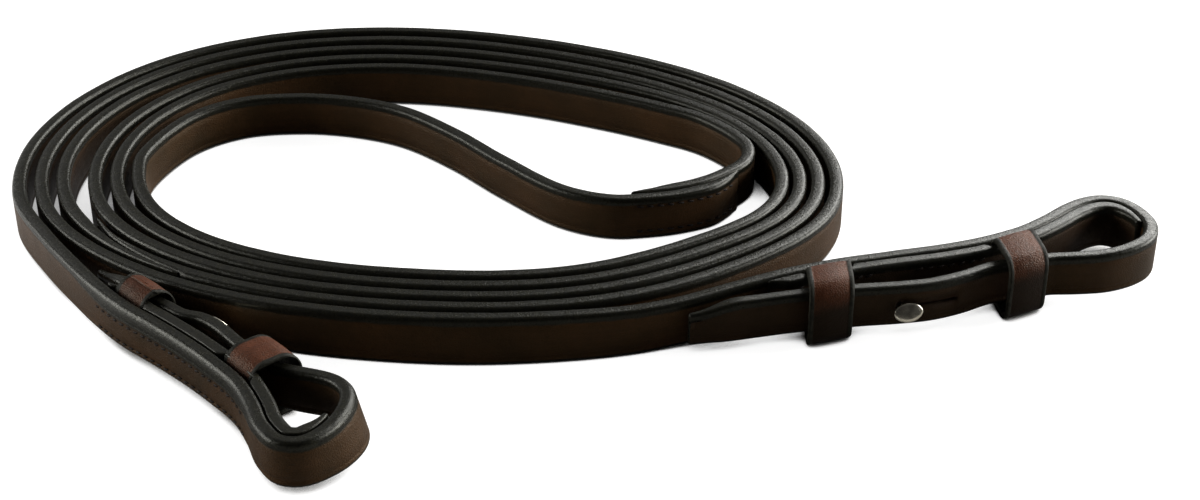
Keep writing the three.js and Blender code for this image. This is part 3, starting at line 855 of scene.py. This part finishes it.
def rounded_outline(y0, z0, y1, z1, radii):
    """Points round a rectangle with its own radius at each corner, from low y, low z."""
    corners = ((y0, z0, 1, 1, 180), (y1, z0, -1, 1, 270), (y1, z1, -1, -1, 0),
               (y0, z1, 1, -1, 90))
    out = []
    for (y, z, inward_y, inward_z, start), r in zip(corners, radii):
        for turn in np.linspace(0, 90, 9):
            angle = math.radians(start + turn)
            out.append((y + inward_y * r + r * math.cos(angle),
                        z + inward_z * r + r * math.sin(angle)))
    return np.array(out)


# Each arm's keepers: height, wall and the radii of the corners, outside.
KEEPER_SHAPES = {
    "right": (18.6 * MM, 1.8 * MM, (2.6 * MM, 4.2 * MM, 4.9 * MM, 4.6 * MM)),
    "left": (17.2 * MM, 1.5 * MM, (2.6 * MM, 5.0 * MM, 6.2 * MM, 5.8 * MM)),
}
KEEPER_INNER_RADII = (1.2 * MM, 2.4 * MM, 3.0 * MM, 2.8 * MM)
KEEPER_EDGE = 0.6 * MM            # the rounding of its cut edges
KEEPER_DYE = 1.35 * MM
KEEPER_CROWN = 0.12 * MM
KEEPER_CREASE = ((1.1 * MM, 0), (1.45 * MM, 0.12 * MM), (1.8 * MM, 0))
LONG_SIDE = 1.2 * MM


def filled(line, is_long):
    """An outline with five more points along each of its long sides."""
    return np.array([here + (there - here) * share
                     for here, there, long in zip(line, np.roll(line, -1, axis=0), is_long)
                     for share in (np.linspace(0, 1, 7)[:-1] if long else [0])])


def keeper_section():
    """Points across the band's outer face: (along the strap, depth into the leather)."""
    half, r = KEEPER_LENGTH / 2, KEEPER_EDGE
    near = [(-half + r * (1 - math.sin(a)), r * (1 - math.cos(a)))
            for a in np.linspace(math.pi / 2, 0, 4)]
    near += [(-half + inset, depth) for inset, depth in KEEPER_CREASE]
    return [*near, (0, -KEEPER_CROWN), *((-x, depth) for x, depth in near[::-1])]


def keeper(arm, which, index):
    """A leather band round the liner and the tongue, with rounded shoulders."""
    s, depth = arm.keepers[index]
    height, wall, radii = KEEPER_SHAPES[arm.name]
    back = HALF + KEEPER_GAP
    outer = rounded_outline(back, 0, back + depth, height, radii)
    inner = rounded_outline(back + KEEPER_BACK_WALL, wall, back + depth - wall,
                            height - wall, KEEPER_INNER_RADII)
    # Both outlines keep the same number of points, so that they stay matched.
    is_long = np.linalg.norm(np.roll(outer, -1, axis=0) - outer, axis=1) > LONG_SIDE
    outer, inner = filled(outer, is_long), filled(inner, is_long)
    half, r = KEEPER_LENGTH / 2, KEEPER_EDGE
    outer_face = keeper_section()
    inner_face = ((half, r), (half - r, 0), (r - half, 0), (-half, r))
    rings = []
    for out_point, in_point in zip(outer, inner):
        inward = (in_point - out_point) / np.linalg.norm(in_point - out_point)
        rings.append([(x, *(out_point + inward * d)) for x, d in outer_face]
                     + [(x, *(in_point - inward * d)) for x, d in inner_face])
    rings = np.array(rings)
    rim = (half - np.abs(rings[..., 0])) / KEEPER_DYE
    rings[..., 0] += arm.side * arm.skew * (rings[..., 1] - back)
    steps = np.linalg.norm(np.diff(outer, axis=0), axis=1)
    around = np.concatenate([[0], np.cumsum(steps)])
    origin, along, across = arm.frame_at(s)
    xy = origin + rings[..., :1] * along + rings[..., 1:2] * across
    made = skin(f"{arm.name}_{which}_keeper_band",
                np.concatenate([xy, rings[..., 2:]], -1), around, rim, keeper_leather,
                closed=True)
    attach(made, "reins")
    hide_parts(f"{arm.name}_{which}_keeper")


def revolved(profile, segments, stretch_x, stretch_z):
    """Rings of a lathe profile of (radius, height) pairs, stretched to an oval."""
    angles = np.linspace(0, 2 * math.pi, segments, endpoint=False)
    return np.array([[(r * math.cos(a) * stretch_x, h, r * math.sin(a) * stretch_z)
                      for a in angles] for r, h in profile])


# Lathe profiles of the stud's parts, as (radius, height).
STUD_BASE = [(0.1, 0), (4.0, 0), (4.3, 0.08), (4.3, 0.2), (0.1, 0.24)]
STUD_NECK = [(0.1, 0), (1, 0), (1, 1), (0.1, 1)]
STUD_HEAD = [(0.02, 0), (0.8, 0), (0.93, 0.1), (0.99, 0.35), (1.0, 0.6), (0.98, 0.82),
             (0.92, 1.0), (0.82, 1.1), (0.6, 1.16), (0.3, 1.19), (0.02, 1.2)]
STUD_HEAD_HALF = (4.1 * MM, 2.6 * MM)
STUD_NECK_HALF = (1.25 * MM, 0.42 * MM)
STUD_TIP = math.radians(24)       # the head's face is tipped up a little
STUD_TIP_ROOM = 1.2 * MM
STUD_HOOK = 0.5 * MM              # the head reaches towards the tongue's tip, as a hook


def hook_stud(arm, rise):
    """A nickel stud: thin base, flat neck for the slit, and an oval domed head."""
    origin, along, across = arm.frame_at(arm.stud_s, -arm.slide)
    tongue_s = np.arange(arm.tongue_from, arm.route.length, 0.25 * MM)
    away = arm.route.at(tongue_s) - (origin + across * 13 * MM)
    nearest = arm.route.at(tongue_s[np.argmin(np.linalg.norm(away, axis=1))])
    under = float((nearest - origin) @ across) + TONGUE_HALF + 0.35 * MM
    base = HALF + 0.02 * MM
    # Each part: its rings, the offset where it starts, and the scale of its height.
    parts = {
        "base": (revolved(STUD_BASE, 32, MM, MM), base, MM),
        "neck": (revolved(STUD_NECK, 20, *STUD_NECK_HALF), base, under - base + 0.3 * MM),
        "head": (revolved(STUD_HEAD, 40, *STUD_HEAD_HALF), under, MM),
    }
    for part, (rings, start, scale) in parts.items():
        x, h, z = rings[..., 0], rings[..., 1] * scale, rings[..., 2]
        if part == "head":
            x = x + arm.side * STUD_HOOK
            h, z = (STUD_TIP_ROOM + h * math.cos(STUD_TIP) - z * math.sin(STUD_TIP),
                    rise + h * math.sin(STUD_TIP) + z * math.cos(STUD_TIP))
        xy = origin + x[..., None] * along + (start + h)[..., None] * across
        placed = np.concatenate([xy, (z + STUD_HEIGHT)[..., None]], -1)
        made = skin(f"{arm.name}_stud_{part}", placed, np.arange(len(placed)) * MM,
                    np.ones(placed.shape[:2]), stud_metal)
        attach(made, "reins")
        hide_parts(f"{arm.name}_hook_stud")


# ---- Stitching -----------------------------------------------------------------------

STITCH_PITCH = 2.9 * MM
STITCH_SLANT = 0.2
STITCH_HALF = (1.12 * MM, 0.34 * MM)
STITCH_STATIONS = 7
STITCH_ROUND = 8


def stitch_template():
    """One stitch from hole to hole: x along, y up the face, z proud of it."""
    rings = []
    for u in np.linspace(-1, 1, STITCH_STATIONS):
        swell = math.sqrt(max(0.05, 1 - u ** 4))
        height = 0.26 * math.cos(u * math.pi / 2) - 0.14
        rings.append([(u * STITCH_HALF[0],
                       swell * STITCH_HALF[1] * math.cos(a),
                       height * MM + 0.2 * MM * swell * math.sin(a))
                      for a in np.linspace(0, 2 * math.pi, STITCH_ROUND, endpoint=False)])
    points = np.array(rings).reshape(-1, 3)
    c, s = math.cos(STITCH_SLANT), math.sin(STITCH_SLANT)
    points[:, :2] = points[:, :2] @ np.array([[c, s], [-s, c]])
    rows = np.arange(len(points)).reshape(STITCH_STATIONS, STITCH_ROUND).tolist()
    faces = [(row[j], row[(j + 1) % STITCH_ROUND], above[(j + 1) % STITCH_ROUND], above[j])
             for row, above in zip(rows, rows[1:]) for j in range(STITCH_ROUND)]
    return points, [*faces, tuple(rows[0]), tuple(rows[-1])]


def stitch_row(node, arm, runs):
    """A row of stitches, for a CAD node.

    Each run is (first s, last s, the face's offset at an s, height, skips), and skips are
    the places that it leaves out, as (s, reach).
    """
    template, faces = stitch_template()
    points, all_faces = [], []
    for start, end, face, height, skips in runs:
        for s in np.arange(start, end, STITCH_PITCH):
            if any(abs(s - where) < reach for where, reach in skips):
                continue
            offset = float(face(s))
            outward = math.copysign(1, offset)
            origin, tangent = arm.route.at(s), arm.route.tangent(s)
            right = arm.route.right_side(s)
            xy = (origin + template[:, :1] * tangent
                  + (offset + outward * template[:, 2:]) * right)
            z = height + template[:, 1]
            xy[:, 1] += arm.lean(np.full(len(z), s), xy) * z
            first = len(points) * len(template)
            points.append(np.column_stack([xy, z + arm.lift(s)]))
            all_faces += [tuple(first + k for k in f) for f in faces]
    mesh = bpy.data.meshes.new(f"{node}_thread")
    mesh.from_pydata(np.vstack(points).tolist(), [], all_faces)
    tidy(mesh)
    made = piece(f"{node}_thread", mesh, thread)
    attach(made, "reins")
    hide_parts(node)


# Heights of a billet's two rows, on the rein's face and on the liner's.
BILLET_ROWS = {
    "right": {"lower": (2.4 * MM, 2.4 * MM), "upper": (10.6 * MM, 10.4 * MM)},
    "left": {"lower": (1.9 * MM, 2.4 * MM), "upper": (8.0 * MM, 10.4 * MM)},
}


def billet_stitches(arm):
    """The rows through the billet, which show on the rein and on the liner."""
    first, last = arm.liner_from + 2 * MM, arm.keepers[1][0] + 14 * MM
    skips = [*((s, KEEPER_LENGTH / 2 + 1.5 * MM) for s, _ in arm.keepers),
             (arm.stud_s, 5 * MM)]
    for row, (rein_height, liner_height) in BILLET_ROWS[arm.name].items():
        stitch_row(f"{arm.name}_{row}_stitch_row", arm, [
            (first, last, lambda s: -arm.side * HALF, rein_height, []),
            (first + 6 * MM, last - 8 * MM,
             lambda s: arm.side * (HALF + GAP + LINER_THICKNESS), liner_height, skips)])


def billet(arm, seed, stud_rise):
    """All that rides on one arm's billet."""
    liner(arm, seed)
    keeper(arm, "tip", 0)
    keeper(arm, "loop", 1)
    hook_stud(arm, stud_rise)
    billet_stitches(arm)


billet(RIGHT, 6.0, -1.1 * MM)
billet(LEFT, 8.0, 1.3 * MM)
for row, row_height in (("lower", 2.5 * MM), ("upper", 10.4 * MM)):
    stitch_row(f"lap_{row}_stitch_row", RIGHT,
               [(5 * MM, LAP_LENGTH - 2 * MM, lambda s: -skived_face(s), row_height, [])])


# ---- Floor and light -------------------------------------------------------------------

FLOOR_HALF = 4.0
FLOOR_DROP = 0.0002


def floor():
    """A plain pale floor with painted light: it glows brighter behind the part and on its
    left, as a lit back wall would, and that light falls on the part too.

    For camera rays it glows white as painted light, so that it is white and throws back
    little, and painted shade keeps it dark in the narrow gaps of the coil.
    """
    n = Nodes("floor_painted_glow")
    # Painted shade: how open the floor is here, so that its glowing for the camera fades in
    # the coil's narrow gaps.
    open_sky = n.add("AmbientOcclusion", samples=12, Distance=0.008).outputs["AO"]
    glow_less_gap_shade = n.ranged(open_sky, 0.28, 0.38, 0.0, 0.93, "SMOOTHSTEP")
    # Painted light: the floor glows white for camera rays only, cut by the painted shade in
    # the gaps.
    painted_camera_glow = n.math("MULTIPLY", n.add("LightPath").outputs["Is Camera Ray"], glow_less_gap_shade)
    split = n.add("SeparateXYZ")
    n.set(split, "Vector", n.place())
    # Painted light: the floor glows brighter behind the part and on its left, and this also
    # lights the part.
    painted_back_glow = n.math("MAXIMUM", n.ranged(split.outputs["Y"], 0.05, 0.6, 0, 0.8),
                      n.ranged(split.outputs["X"], -0.12, -0.2, 0, 0.8))
    material = n.shade(Base_Color=(0.42, 0.41, 0.39, 1), Roughness=0.9,
                       Specular_IOR_Level=0.1, Emission_Color=(1, 1, 1, 1),
                       Emission_Strength=n.math("MAXIMUM", painted_camera_glow, painted_back_glow))
    mesh = bpy.data.meshes.new("floor")
    corners = [(x * FLOOR_HALF, y * FLOOR_HALF, 0)
               for x, y in ((-1, -1), (1, -1), (1, 1), (-1, 1))]
    mesh.from_pydata(corners, [], [(0, 1, 2, 3)])
    made = piece("floor", mesh, material)
    made.location.z = -FLOOR_DROP


def soft_light(name, place, size, power):
    """An oblong area light that faces the part."""
    data = bpy.data.lights.new(name, "AREA")
    data.shape = "RECTANGLE"
    data.size, data.size_y = size
    data.energy = power
    made = bpy.data.objects.new(name, data)
    made.location = place
    made.rotation_euler = (-Vector(place)).to_track_quat("-Z", "Y").to_euler()
    bpy.context.scene.collection.objects.link(made)


# Each softbox: place, size in metres, and power in watts.
SOFTBOXES = {
    "back_left_softbox": ((-0.95, 1.2, 0.85), (0.7, 0.8), 2),
    "back_right_softbox": ((0.8, 1.25, 0.85), (0.9, 0.9), 30),
    "left_softbox": ((-1.35, 0.05, 0.4), (0.9, 0.6), 18),
    "right_softbox": ((1.3, 0.35, 0.4), (0.9, 0.6), 30),
    "top_softbox": ((0.2, 0.9, 1.4), (1.2, 0.6), 2),
}

floor()
for name, (place, size, power) in SOFTBOXES.items():
    soft_light(name, place, size, power)


def studio_world():
    """Pale walls behind the part and a dark room on the near side of it."""
    world = bpy.data.worlds.new("studio")
    world.use_nodes = True
    tree = world.node_tree
    direction = tree.nodes.new("ShaderNodeTexCoord")
    split = tree.nodes.new("ShaderNodeSeparateXYZ")
    ramp = tree.nodes.new("ShaderNodeMapRange")
    tree.links.new(direction.outputs["Generated"], split.inputs[0])
    tree.links.new(split.outputs["Y"], ramp.inputs["Value"])
    for socket, value in (("From Min", -0.6), ("From Max", 0.9), ("To Min", 0.028),
                          ("To Max", 0.15)):
        ramp.inputs[socket].default_value = value
    background = tree.nodes["Background"]
    background.inputs["Color"].default_value = (1, 1, 1, 1)
    tree.links.new(ramp.outputs["Result"], background.inputs["Strength"])
    return world


bpy.context.scene.world = studio_world()
bpy.context.scene.view_settings.view_transform = "Standard"
